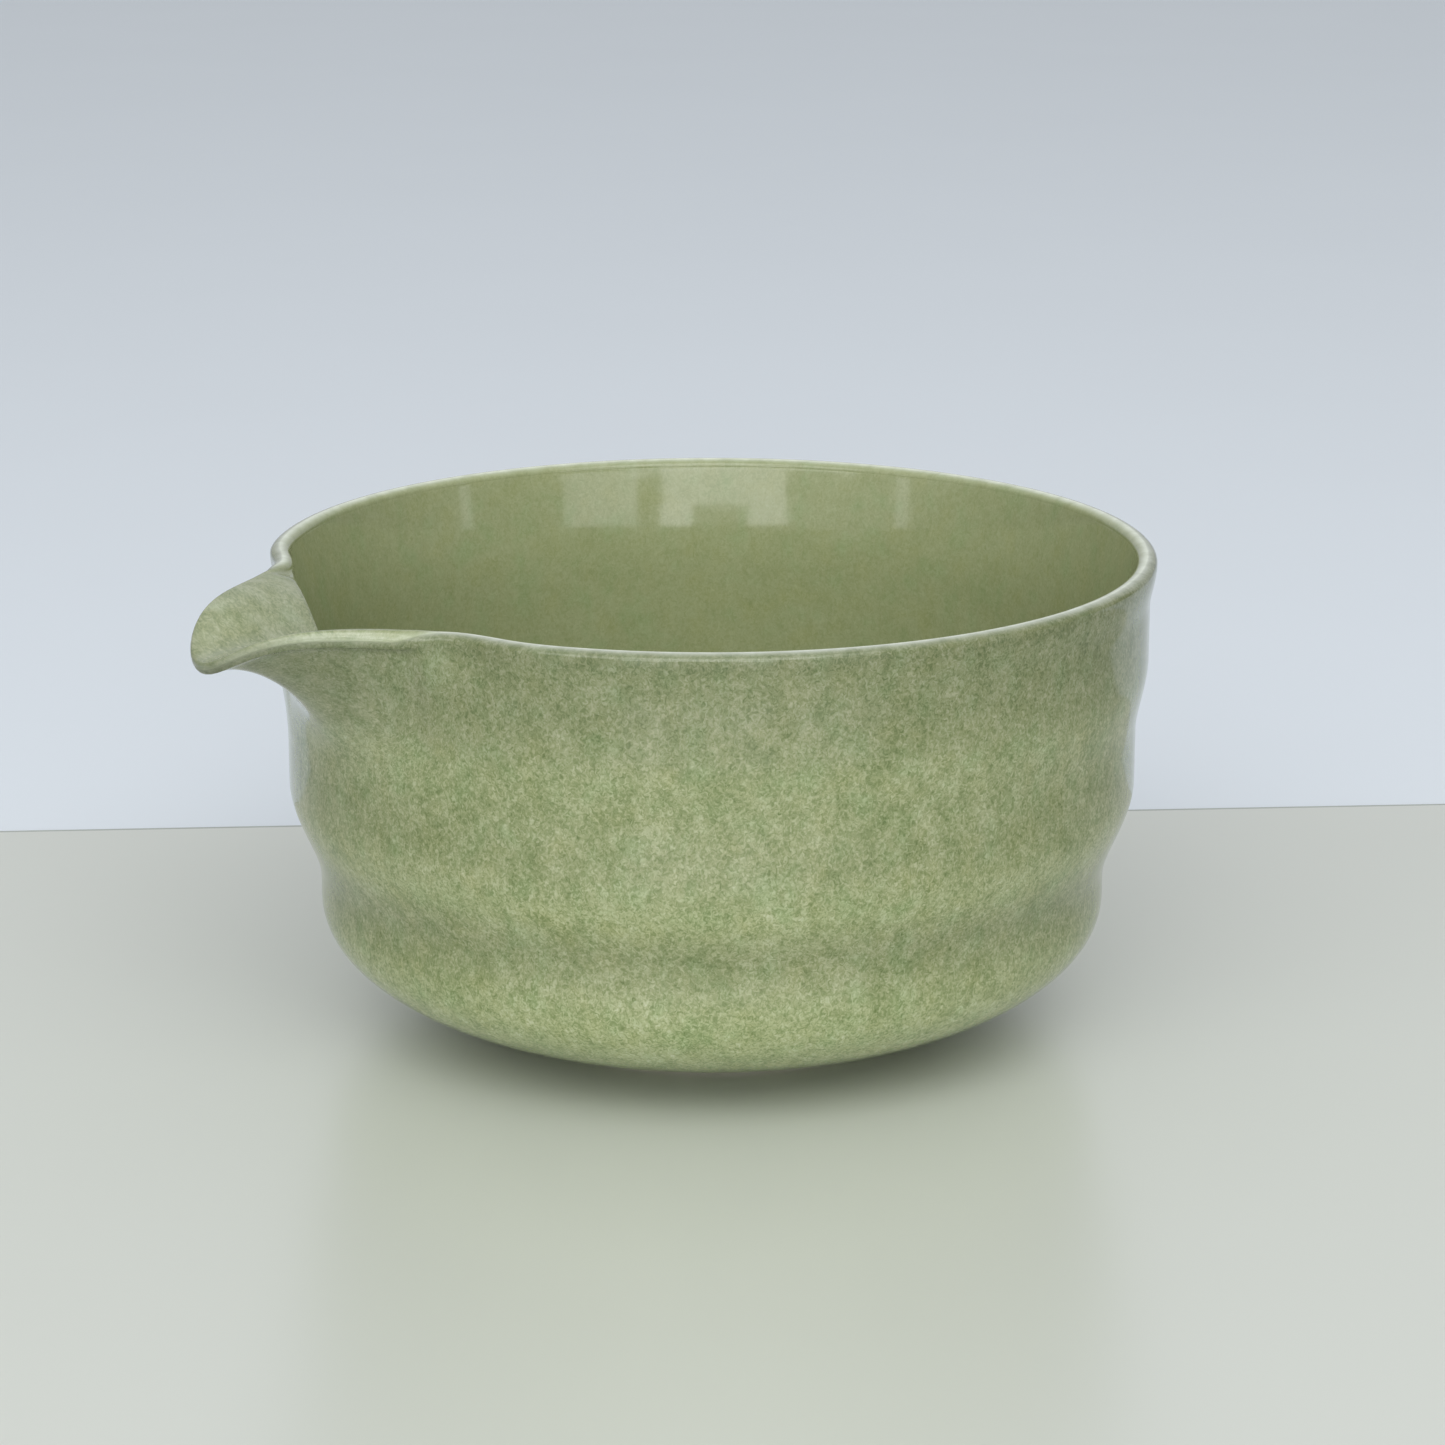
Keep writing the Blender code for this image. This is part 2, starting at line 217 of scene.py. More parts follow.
# Directions as the camera sees them, and the foot of the bowl's axis
FORWARD = Vector((math.sin(-math.radians(CAMERA_AZIMUTH)), math.cos(math.radians(CAMERA_AZIMUTH)), 0.0))
RIGHT = Vector((FORWARD.y, -FORWARD.x, 0.0))
AXIS = Vector((AXIS_X, 0.0, 0.0))

# Light of the world: a base, and soft lobes given as (right, away, up), where they start and
# are full, and their colour
WORLD_BASE = (0.155, 0.155, 0.15)
WORLD_LOBES = (
    ((-0.25, -1.0, 0.22), 0.3, 1.0, (0.50, 0.50, 0.49)),
    ((0.0, 0.0, 1.0), 0.1, 1.0, (0.40, 0.405, 0.41)),
    ((0.0, 1.0, 0.15), 0.68, 0.78, (0.38, 0.40, 0.43)),
)

# Lights, turned towards a point of the bowl's axis: name, place (right, away, up), size, power
LIGHT_TARGET_Z = 0.06
LIGHTS = (
    ("window_head", (-0.15, -2.4, 0.73), (1.60, 0.44), 5.6),
    ("window_left", (-0.70, -2.4, 0.34), (0.50, 0.34), 1.5),
    ("window_middle", (0.45, -2.4, 0.34), (0.42, 0.34), 1.3),
    ("window_right", (1.31, -2.0, 0.54), (0.95, 0.62), 2.9),
    ("glint_left", (-1.85, -1.19, 0.50), (0.16, 0.50), 0.35),
    ("glint_right", (2.15, -0.54, 0.50), (0.16, 0.50), 0.35),
    ("high_window", (-0.25, -1.5, 1.15), (2.40, 1.10), 13.5),
    ("skylight", (0.3, -1.1, 1.35), (1.60, 1.20), 8.0),
)

# Table: it ends behind the bowl along a line that slants a little, with a thin gap beyond it,
# painted dark as shade
STAGE_REACH = 4.0
TABLE_END = 0.1224
TABLE_SLANT = 0.066
GAP_WIDTH = 0.0035
BACKDROP_DROP = 0.0015
SHEET_CLOUD = 0.12
TABLE_COLOUR = (0.66, 0.69, 0.64)
BACKDROP_COLOUR = (0.79, 0.85, 0.92)
GAP_PAINTED_SHADE = (0.46, 0.49, 0.47)


# ---------------------------------------------------------------- section of the bowl

def ease(value, low, high):
    """0 below low, 1 above high, and a smooth slope between them."""
    t = np.clip((value - low) / (high - low), 0.0, 1.0)
    return t * t * (3.0 - 2.0 * t)


def wall_radius(z):
    """Outer radius of the glazed wall at height z."""
    radius = BELLY_RADIUS + (MIDDLE_RADIUS - BELLY_RADIUS) * ease(z, *STEP)
    radius = radius + (UPPER_RADIUS - MIDDLE_RADIUS) * ease(z, *GROOVE)
    return radius + (RIM_RADIUS - UPPER_RADIUS) * ease(z, *FLARE)


def inner_radius(z):
    """Inner radius of the glazed wall at height z."""
    radius = BELLY_RADIUS + (MIDDLE_RADIUS - BELLY_RADIUS) * ease(z, *STEP) - WALL
    climb = np.clip((z - INNER_FLARE_Z) / (HEIGHT - LIP_RISE - INNER_FLARE_Z), 0.0, 1.0)
    flare = RIM_RADIUS - 2 * LIP_HALF_WIDTH - (MIDDLE_RADIUS - WALL)
    return radius + flare * climb**INNER_FLARE_POWER


def belly_curve(angles, radius, depth):
    """Points (r, z) of a superellipse that hangs from BELLY_Z."""
    power = 2.0 / BELLY_POWER
    across = radius * np.cos(angles) ** power
    down = depth * np.sin(angles) ** power
    return np.column_stack([across, BELLY_Z - down])


def cubic(start, handle_a, handle_b, end, t):
    """Points of a cubic curve at the parameters t."""
    t = np.asarray(t)[:, None]
    s = 1.0 - t
    return s**3 * start + 3 * s * s * t * handle_a + 3 * s * t * t * handle_b + t**3 * end


def spout_share(psi):
    """How far the rim is drawn out at the angle psi from the spout's middle, from 0 to 1."""
    if abs(psi) >= SHOULDER[1]:
        return 0.0
    bump = math.cos(0.5 * math.pi * psi / SPOUT_HALF_ANGLE) ** (2 * SPOUT_NARROWNESS)
    return bump * (1.0 - ease(abs(psi), *SHOULDER))


def lip_frame(psi):
    """Lip centre, the way the wall heads there, the way its outside faces, and its half sizes."""
    share = spout_share(psi)
    neck = NECK_DEPTH * math.exp(-((abs(psi) - NECK_ANGLE) / NECK_SPREAD) ** 2)
    half_width = LIP_HALF_WIDTH * (1 - LIP_THINNING * share)
    rise = LIP_RISE * (1 - LIP_THINNING * share)
    turned = ease(share, 0.0, FULL_TURN_SHARE)
    crest = rise + (half_width - rise) * turned
    centre = np.array([
        RIM_RADIUS - LIP_HALF_WIDTH - neck + SPOUT_REACH * share,
        HEIGHT - crest - SPOUT_DROP * share**DROP_SHARPNESS,
    ])
    pitch = math.pi / 2 + (CHANNEL_PITCH - math.pi / 2) * turned - TIP_DROOP * share**3
    heading = np.array([math.cos(pitch), math.sin(pitch)])
    outward = np.array([math.sin(pitch), -math.cos(pitch)])
    return centre, heading, outward, half_width, rise


def outer_leg(psi):
    """Outside of the wall from the spout's root to the lip: plain, or swept out under the spout."""
    centre, heading, outward, half_width, _ = lip_frame(psi)
    end = centre + outward * half_width
    t = np.linspace(0, 1, LEG_STEPS + 1)
    z = SPOUT_ROOT_Z + (end[1] - SPOUT_ROOT_Z) * t
    plain = np.column_stack([wall_radius(z), z])
    plain = plain + (end - plain[-1]) * ease(t, 0.0, 1.0)[:, None] ** 2
    start = plain[0]
    handle_a = start + np.array([0.0, ROOT_HANDLE])
    handle_b = end - heading * TIP_HANDLE_SHARE * (end[0] - start[0])
    swept = cubic(start, handle_a, handle_b, end, t)
    return swept + (plain - swept) * ease(abs(psi), *CHANNEL_EDGE)


def inner_leg(psi):
    """Inside of the wall from the spout's root to the lip, over the sill where there is a channel."""
    share = spout_share(psi)
    centre, heading, outward, half_width, _ = lip_frame(psi)
    end = centre - outward * half_width
    plain = ease(abs(psi), *SILL_EDGE)
    sill_z = min(HEIGHT - LIP_HALF_WIDTH - SILL_DEPTH * share**SILL_SHARPNESS, end[1] - SILL_TO_LIP[1])
    below_z = sill_z - SILL_ROUND
    sill_r = SILL_RADIUS + (inner_radius(sill_z) - SILL_RADIUS) * plain
    below_r = sill_r - (inner_radius(sill_z) - inner_radius(below_z)) * plain
    sill = np.array([min(sill_r, end[0] - SILL_TO_LIP[0]), sill_z])
    below = np.array([below_r, below_z])

    # Up the bowl's inside, with a smooth lean towards the sill
    t = np.linspace(0, 1, RISE_STEPS, endpoint=False)
    z = SPOUT_ROOT_Z + (below_z - SPOUT_ROOT_Z) * t
    rise = np.column_stack([inner_radius(z) + (below_r - inner_radius(below_z)) * ease(t, 0.0, 1.0), z])

    # Round the sill's corner, then out along the channel to the lip
    aim = end - heading * TIP_HANDLE_SHARE * (end[0] - sill[0]) - sill
    length = np.linalg.norm(aim)
    aim = aim / length
    beyond = sill + aim * min(SILL_ROUND, 0.5 * length)
    corner = cubic(below, below + (sill - below) * SILL_FULLNESS,
                   beyond + (sill - beyond) * SILL_FULLNESS, beyond,
                   np.linspace(0, 1, CORNER_STEPS, endpoint=False))
    run = np.linalg.norm(end - beyond)
    channel = cubic(beyond, beyond + aim * run * SILL_HANDLE_SHARE,
                    end - heading * run * TIP_HANDLE_SHARE, end,
                    np.linspace(0, 1, CHANNEL_STEPS + 1))
    return np.concatenate([rise, corner, channel])


def lip_arc(psi):
    """Rounded top edge, from the inside of the wall to the outside, without its two ends."""
    centre, heading, outward, half_width, rise = lip_frame(psi)
    turns = np.linspace(math.pi, 0.0, LIP_STEPS + 2)[1:-1]
    return np.array([centre + outward * half_width * math.cos(a) + heading * rise * math.sin(a)
                     for a in turns])


def top_section(psi):
    """Glazed surface above the spout's root: up the inside, over the lip, down the outside."""
    return np.concatenate([inner_leg(psi), lip_arc(psi), outer_leg(psi)[::-1]])


def foot_angle():
    """Angle at which the belly's curve reaches the foot."""
    return math.acos((FOOT_RADIUS / BELLY_RADIUS) ** (BELLY_POWER / 2.0))


def full_section(psi):
    """Glazed surface from the floor's middle, up and over the lip, down to the glaze's edge."""
    bands = np.linspace(BELLY_Z, SPOUT_ROOT_Z, BAND_STEPS, endpoint=False)
    floor = belly_curve(np.linspace(math.pi / 2, 0, FLOOR_STEPS, endpoint=False),
                        BELLY_RADIUS - WALL, BELLY_Z - FLOOR_Z)
    floor[0, 0] = 0.0
    inside = np.column_stack([inner_radius(bands), bands])
    outside = np.column_stack([wall_radius(bands), bands])[::-1]
    belly = belly_curve(np.linspace(0, foot_angle(), BELLY_STEPS + 1)[1:], BELLY_RADIUS, BELLY_DEPTH)
    join = belly[-1][1]
    foot = np.column_stack([np.full(3, FOOT_RADIUS), np.linspace(join, GLAZE_EDGE_Z, 4)[1:]])
    return np.concatenate([floor, inside, top_section(psi), outside, belly, foot])


def on_bowl(psi, points):
    """Place section points (r, z) at the angle psi from the spout's middle."""
    r, z = points[:, 0], points[:, 1]
    return np.column_stack([AXIS_X - r * math.cos(psi), -r * math.sin(psi), z])


def surface_normals(grid):
    """Unit normals of a grid of points, which face the air and away from the clay."""
    normal = np.cross(np.gradient(grid, axis=1), np.gradient(grid, axis=0))
    return normal / np.maximum(np.linalg.norm(normal, axis=2, keepdims=True), 1e-12)


def ring_angles():
    """Angles round the bowl, closer together across the spout."""
    near_count = round(NOTCH_HALF_ANGLE / SPOUT_STEP)
    near = np.arange(-near_count, near_count) * SPOUT_STEP
    edge = near_count * SPOUT_STEP
    far_count = round((2 * math.pi - 2 * edge) / PLAIN_STEP)
    far = np.linspace(edge, 2 * math.pi - edge, far_count, endpoint=False)
    return np.concatenate([near, far])


# ---------------------------------------------------------------- mesh pieces

def new_piece(name, material, build):
    """A mesh object filled by build(bm), shaded smooth."""
    mesh = bpy.data.meshes.new(name)
    mesh.materials.append(material)
    bm = bmesh.new()
    build(bm)
    bm.normal_update()
    bm.to_mesh(mesh)
    bm.free()
    mesh.shade_smooth()
    obj = bpy.data.objects.new(name, mesh)
    bpy.context.scene.collection.objects.link(obj)
    return obj


def store(obj, name, values):
    """Keep one number for each vertex, for the material to read."""
    attribute = obj.data.attributes.new(name, "FLOAT", "POINT")
    attribute.data.foreach_set("value", np.asarray(values, np.float32))


def glaze_pooling_and_painted_light(height):
    """How much darker the outer glaze is painted at each height: pooled glaze with painted shade and
    light.
    """
    heights, darkness = zip(*POOLING_AND_PAINTED_LIGHT)
    return np.interp(height, heights, darkness)


def glaze_skin(material):
    """The glaze over the inside, the lip, the spout and the outside, as one closed skin."""
    angles = ring_angles()
    sections = [full_section(psi) for psi in angles]
    grid = np.array([on_bowl(psi, section) for psi, section in zip(angles, sections)])

    def build(bm):
        middle = bm.verts.new(grid[0][0])
        rows = [[bm.verts.new(point) for point in section[1:]] for section in grid]
        for row, following in zip(rows, rows[1:] + rows[:1]):
            bm.faces.new((middle, row[0], following[0]))
            for k in range(len(row) - 1):
                bm.faces.new((row[k], row[k + 1], following[k + 1], following[k]))

    obj = new_piece("glaze_skin", material, build)

    # How far each point is in the spout's channel, how thin and how nearly bare the glaze is on
    # the lip, where it also carries a painted sheen and a painted crest highlight, how calm its mottle
    # is inside the bowl, and how dark it is, from pooled glaze with painted shade and light by height
    # and from glaze gathered at the spout's tip
    sill = FLOOR_STEPS + BAND_STEPS + RISE_STEPS
    lip_middle = sill + CORNER_STEPS + CHANNEL_STEPS + 1 + LIP_STEPS // 2
    spout, lip, crest, inside, depth = [0.0], [0.0], [0.0], [1.0], [0.0]
    for psi, section in zip(angles, sections):
        height = section[:, 1]
        away = np.linalg.norm(section - section[lip_middle], axis=1)
        rise = ease(height, SPOUT_ROOT_Z, SPOUT_ROOT_Z + STREAK_RISE)
        channel = min(1.0, STREAK_GAIN * spout_share(psi)) * rise
        index = np.arange(len(section))
        spout.extend(np.where(index > lip_middle, OUTER_STREAKS * channel, channel)[1:])
        # The lip and crest masks carry a painted sheen and a painted highlight as well as thin and bare
        # glaze
        bareness_and_sheen = 1.0 - SPOUT_COVER * min(1.0, SPOUT_COVER_GAIN * spout_share(psi))
        edge = np.exp(-((away / LIP_PALENESS) ** 2))
        gathered = TIP_DARKNESS * spout_share(psi) ** 2 * edge
        lip.extend(bareness_and_sheen * edge[1:])
        crest.extend(bareness_and_sheen * np.exp(-((away / CREST_PALENESS) ** 2))[1:])
        calm = np.where(index <= sill, 1.0, 1.0 - channel)
        inside.extend(np.where(index <= lip_middle, calm, 0.0)[1:])
        # The depth holds painted shade and painted light by height on the outside, with pooled glaze,
        # and the glaze gathered at the spout's tip
        depth.extend((np.where(index > lip_middle, glaze_pooling_and_painted_light(height), 0.0) + gathered)[1:])
    store(obj, "spout", spout)
    store(obj, "lip", lip)
    store(obj, "crest", crest)
    store(obj, "inside", inside)
    store(obj, "depth", depth)
    coat = obj.modifiers.new("coat", "SOLIDIFY")
    coat.thickness = GLAZE
    coat.offset = -1.0
    return obj


def turn(name, material, profile):
    """Turn a closed or axis-to-axis profile of (r, z) points into a solid, top to bottom."""
    def build(bm):
        verts = [bm.verts.new((r, 0.0, z)) for r, z in profile]
        for a, b in zip(verts, verts[1:]):
            bm.edges.new((a, b))

    obj = new_piece(name, material, build)
    obj.location.x = AXIS_X
    screw = obj.modifiers.new("turn", "SCREW")
    screw.steps = TURNED_STEPS
    screw.render_steps = TURNED_STEPS
    screw.use_merge_vertices = True
    screw.merge_threshold = MERGE_DISTANCE
    return obj


def clay_wall(material):
    """The turned clay bowl under the glaze, with its notch for the spout."""
    glazed = full_section(math.pi)[:-3]
    along = np.gradient(glazed, axis=0)
    normal = np.column_stack([-along[:, 1], along[:, 0]])
    clay = glazed - normal / np.linalg.norm(normal, axis=1, keepdims=True) * CLAY_DEPTH
    clay[0, 0] = 0.0
    above_base = clay[clay[:, 1] > CLAY_BASE_Z + SEAT_MARGIN]
    seat = np.array([[FOOT_RADIUS - CLAY_DEPTH, CLAY_BASE_Z], [0.0, CLAY_BASE_Z]])
    obj = turn("clay_wall", material, np.concatenate([above_base, seat]))

    def wedge(bm):
        bmesh.ops.create_cube(bm, size=2.0)
        half_angle = NOTCH_HALF_ANGLE + SEAM / RIM_RADIUS
        for vert in bm.verts:
            r = NOTCH_SPAN[1] if vert.co.x < 0 else NOTCH_SPAN[0]
            psi = half_angle if vert.co.y < 0 else -half_angle
            z = HEIGHT + NOTCH_HEADROOM if vert.co.z > 0 else SPOUT_ROOT_Z - SEAM
            vert.co = (AXIS_X - r * math.cos(psi), -r * math.sin(psi), z)

    notch = new_piece("spout_notch", material, wedge)
    cut = obj.modifiers.new("notch", "BOOLEAN")
    cut.operation = "DIFFERENCE"
    cut.solver = "FAST"
    cut.object = notch
    graph = bpy.context.evaluated_depsgraph_get()
    cut_mesh = bpy.data.meshes.new_from_object(obj.evaluated_get(graph))
    obj.modifiers.clear()
    obj.data = cut_mesh
    bpy.data.objects.remove(notch)
    return obj


def spout_clay(material):
    """The clay of the spout, under its glaze."""
    count = round(2 * NOTCH_HALF_ANGLE / SPOUT_STEP)
    angles = np.linspace(-NOTCH_HALF_ANGLE, NOTCH_HALF_ANGLE, count + 1)
    grid = np.array([on_bowl(psi, top_section(psi)) for psi in angles])
    grid = grid - surface_normals(grid) * CLAY_DEPTH

    def build(bm):
        rows = [[bm.verts.new(point) for point in section] for section in grid]
        for row, following in zip(rows, rows[1:]):
            for k in range(len(row)):
                j = (k + 1) % len(row)
                bm.faces.new((row[k], row[j], following[j], following[k]))
        bm.faces.new(rows[0][::-1])
        bm.faces.new(rows[-1])

    return new_piece("spout_clay", material, build)


def foot_clay(material):
    """The foot ring, with a rounded tread."""
    outer = FOOT_RADIUS - CLAY_DEPTH
    inner = FOOT_RADIUS - FOOT_WIDTH
    top = CLAY_BASE_Z - SEAM
    turns = np.linspace(0, math.pi / 2, TREAD_STEPS)
    outer_edge = [(outer - TREAD_ROUND * (1 - math.cos(a)), TREAD_ROUND * (1 - math.sin(a)))
                  for a in turns]
    inner_edge = [(inner + TREAD_ROUND * (1 - math.sin(a)), TREAD_ROUND * (1 - math.cos(a)))
                  for a in turns]
    profile = [(inner, top), (outer, top)] + outer_edge + inner_edge + [(inner, top)]
    return turn("foot_clay", material, profile)


def base_patch(material):
    """The glaze inside the foot ring, with a rounded edge."""
    radius = FOOT_RADIUS - FOOT_WIDTH - SEAM
    top = CLAY_BASE_Z - SEAM
    turns = np.linspace(0, math.pi / 2, BASE_EDGE_STEPS)
    edge = [(radius - GLAZE * (1 - math.cos(a)), top - GLAZE * math.sin(a)) for a in turns]
    return turn("base_patch", material, [(0.0, top)] + edge + [(0.0, top - GLAZE)])


# ---------------------------------------------------------------- materials

class Tree:
    """A material's node tree, with short ways to add the nodes used here."""

    def __init__(self, name):
        self.material = bpy.data.materials.new(name)
        self.material.use_nodes = True
        self.nodes = self.material.node_tree.nodes
        self.links = self.material.node_tree.links
        self.shader = self.nodes["Principled BSDF"]

    def add(self, kind, inputs=None, **settings):
        node = self.nodes.new(kind)
        for name, value in settings.items():
            setattr(node, name, value)
        for key, value in (inputs or {}).items():
            self.put(node.inputs[key], value)
        return node

    def put(self, socket, value):
        if isinstance(value, bpy.types.NodeSocket):
            self.links.new(value, socket)
        else:
            socket.default_value = value

    def attribute(self, name):
        return self.add("ShaderNodeAttribute", attribute_name=name).outputs["Fac"]

    def place(self, stretch=(1.0, 1.0, 1.0)):
        coordinate = self.add("ShaderNodeTexCoord").outputs["Object"]
        return self.add("ShaderNodeMapping", {"Vector": coordinate, "Scale": stretch}).outputs[0]

    def noise(self, vector, size, detail=2.0, roughness=0.5, distortion=0.0):
        node = self.add("ShaderNodeTexNoise", {
            "Vector": vector, "Scale": 1.0 / size, "Detail": detail,
            "Roughness": roughness, "Distortion": distortion,
        })
        return node.outputs["Fac"]

    def calc(self, operation, a, b=0.0, c=0.0):
        node = self.add("ShaderNodeMath", operation=operation)
        for socket, value in zip(node.inputs, (a, b, c)):
            self.put(socket, value)
        return node.outputs[0]

    def fit(self, value, low, high, to_low, to_high):
        node = self.add("ShaderNodeMapRange", {
            "Value": value, "From Min": low, "From Max": high, "To Min": to_low, "To Max": to_high,
        })
        return node.outputs[0]

    def mix(self, factor, a, b, blend="MIX"):
        node = self.add("ShaderNodeMix", data_type="RGBA", blend_type=blend)
        self.put(node.inputs["Factor"], factor)
        self.put(node.inputs[6], a)
        self.put(node.inputs[7], b)
        return node.outputs[2]

    def ramp(self, value, stops):
        node = self.add("ShaderNodeValToRGB", {"Fac": value})
        elements = node.color_ramp.elements
        while len(elements) < len(stops):
            elements.new(0.5)
        for element, (position, colour) in zip(elements, stops):
            element.position = position
            element.color = paint(colour)
        return node.outputs["Color"]

    def bump(self, height, strength, distance):
        node = self.add("ShaderNodeBump", {"Height": height, "Strength": strength,
                                           "Distance": distance})
        self.links.new(node.outputs["Normal"], self.shader.inputs["Normal"])


def paint(colour):
    """A colour given as 0 to 255 display values, as the linear numbers that shaders take."""
    shares = [value / 255 for value in colour]
    linear = [v / 12.92 if v <= 0.04045 else ((v + 0.055) / 1.055) ** 2.4 for v in shares]
    return (*linear, 1.0)


def glaze_material():
    """Glossy mottled glaze: cream green with curly flecks and soft patches of olive and moss."""
    t = Tree("green_glaze")
    plain = t.place(MOTTLE_STRETCH)
    runny = t.place(STREAK_STRETCH)
    vector = t.mix(t.attribute("spout"), plain, runny)

    flecks = t.noise(vector, FLECKS[0], detail=1.5, roughness=0.6, distortion=1.1)
    patches = t.noise(vector, PATCHES[0], detail=2.0, roughness=0.55, distortion=0.4)
    clouds = t.noise(plain, CLOUDS[0], detail=2.0, roughness=0.5, distortion=0.2)
    tone = t.calc("MULTIPLY_ADD", t.calc("SUBTRACT", flecks, 0.5), FLECKS[1], 0.5)
    tone = t.calc("MULTIPLY_ADD", t.calc("SUBTRACT", patches, 0.5), PATCHES[1], tone)
    tone = t.calc("MULTIPLY_ADD", t.calc("SUBTRACT", clouds, 0.5), CLOUDS[1], tone)
    calm = t.calc("MULTIPLY_ADD", t.calc("SUBTRACT", tone, 0.5), *CALM)
    tone = t.mix(t.attribute("inside"), tone, calm)
    colour = t.ramp(tone, GLAZE_TONES)

    # Patches that lean to blue-green, others to yellow olive
    drift = t.noise(plain, DRIFT_SIZE, detail=2.0, roughness=0.6)
    colour = t.mix(t.fit(drift, *BLUE_SHARE), colour,
                   t.mix(1.0, colour, paint(BLUE_LEAN), "MULTIPLY"))
    colour = t.mix(t.fit(drift, *OLIVE_SHARE), colour,
                   t.mix(1.0, colour, paint(OLIVE_LEAN), "MULTIPLY"))

    # Thin glaze on the lip lets the pale clay through, with a painted sheen over the lip and a painted
    # highlight along its crest, and the run down the spout lets the clay through too
    thin_and_sheen = t.calc("MULTIPLY", t.attribute("lip"), t.fit(patches, *THIN_AND_SHEEN_SHARE))
    colour = t.mix(thin_and_sheen, colour, paint(THIN_GLAZE_AND_SHEEN))
    bare = t.calc("MULTIPLY", t.attribute("crest"), t.fit(patches, *BARE_AND_HIGHLIGHT_SHARE))
    colour = t.mix(bare, colour, paint(BARE_CREST_AND_HIGHLIGHT))
    runs = t.calc("MULTIPLY", t.attribute("spout"), t.fit(patches, *RUNS_SHARE))
    colour = t.mix(runs, colour, paint(SPOUT_RUNS))
    # Painted shade and painted light by height on the outside, with pooled glaze, and darker glaze
    # gathered at the spout's tip
    pooled_and_painted_light = t.fit(t.attribute("depth"), *PAINTED_LIGHT_AND_POOL_SHADE)
    shaded = t.add("ShaderNodeVectorMath", {0: colour, "Scale": pooled_and_painted_light}, operation="SCALE")
    t.put(t.shader.inputs["Base Color"], shaded.outputs[0])

    t.put(t.shader.inputs["Roughness"], t.fit(patches, *GLAZE_ROUGHNESS))
    t.shader.inputs["Specular IOR Level"].default_value = GLAZE_SPECULAR
    t.shader.inputs["IOR"].default_value = GLAZE_IOR
    waves = t.noise(plain, WAVE_SIZE, detail=1.0)
    pits = t.noise(plain, PITS[0], detail=1.0)
    height = t.calc("MULTIPLY_ADD", pits, PITS[1], waves)
    t.bump(height, *GLAZE_BUMP)
    return t.material


def clay_material():
    """Bare fired clay: pale cream, matt and finely grained, with small iron specks."""
    t = Tree("bare_clay")
    place = t.place()
    grain = t.noise(place, GRAIN_SIZE, detail=3.0, roughness=0.7)
    stain = t.noise(place, STAIN_SIZE, detail=3.0, roughness=0.6)
    colour = t.mix(t.fit(stain, *STAIN_SHARE), paint(CLAY_STAINED), paint(CLAY_CLEAN))
    colour = t.mix(t.fit(grain, *SPECK_SHARE), colour, paint(CLAY_SPECK))
    t.put(t.shader.inputs["Base Color"], colour)
    t.put(t.shader.inputs["Roughness"], t.fit(grain, *CLAY_ROUGHNESS))
    t.bump(grain, *CLAY_BUMP)
    return t.material


def plain_material(name, colour, roughness, variation, coat=0.0):
    """A nearly plain pale surface for the floor, with a faint unevenness."""
    t = Tree(name)
    cloud = t.noise(t.place(), SHEET_CLOUD, detail=3.0, roughness=0.5)
    darker = tuple(v * (1 - variation) for v in colour)
    t.put(t.shader.inputs["Base Color"], t.mix(cloud, (*darker, 1.0), (*colour, 1.0)))
    t.shader.inputs["Roughness"].default_value = roughness
    t.shader.inputs["Coat Weight"].default_value = coat
    t.shader.inputs["Coat Roughness"].default_value = roughness
    return t.material


# ---------------------------------------------------------------- floor, lights, camera

def room(right, forward, up):
    """A point given from the bowl's axis as the camera sees it: right, away and up."""
    return AXIS + RIGHT * right + FORWARD * forward + Vector((0.0, 0.0, up))


def sheet(name, material, corners):
    """A flat staged sheet with the given corners, anticlockwise from above."""
    def build(bm):
        bm.faces.new([bm.verts.new(corner) for corner in corners])

    obj = new_piece(name, material, build)
    return obj


def area_light(name, place, aim, size, power):
    """A soft rectangular light at a place, turned towards a point."""
    data = bpy.data.lights.new(name, "AREA")
    data.shape = "RECTANGLE"
    data.size, data.size_y = size
    data.energy = power
    obj = bpy.data.objects.new(name, data)
    bpy.context.scene.collection.objects.link(obj)
    obj.location = place
    obj.rotation_euler = (aim - place).to_track_quat("-Z", "Y").to_euler()


def make_world():
    """Soft light from all round, with a lobe from behind the camera, one above and one beyond."""
    world = bpy.data.worlds.new("soft_room")
    bpy.context.scene.world = world
    world.use_nodes = True
    nodes, links = world.node_tree.nodes, world.node_tree.links
    coordinate = nodes.new("ShaderNodeTexCoord")
    background = nodes["Background"]
    total = None
    for direction, low, high, colour in WORLD_LOBES:
        towards = RIGHT * direction[0] + FORWARD * direction[1] + Vector((0.0, 0.0, direction[2]))
        lean = nodes.new("ShaderNodeVectorMath")
        lean.operation = "DOT_PRODUCT"
        lean.inputs[1].default_value = towards.normalized()
        links.new(coordinate.outputs["Generated"], lean.inputs[0])
        span = nodes.new("ShaderNodeMapRange")
        span.interpolation_type = "SMOOTHSTEP"
        span.inputs["From Min"].default_value = low
        span.inputs["From Max"].default_value = high
        links.new(lean.outputs["Value"], span.inputs["Value"])
        lobe = nodes.new("ShaderNodeMix")
        lobe.data_type = "RGBA"
        lobe.blend_type = "ADD"
        lobe.clamp_result = False
        links.new(span.outputs[0], lobe.inputs["Factor"])
        if total is None:
            lobe.inputs[6].default_value = (*WORLD_BASE, 1.0)
        else:
            links.new(total, lobe.inputs[6])
        lobe.inputs[7].default_value = (*colour, 1.0)
        total = lobe.outputs[2]
    links.new(total, background.inputs["Color"])
    background.inputs["Strength"].default_value = 1.0


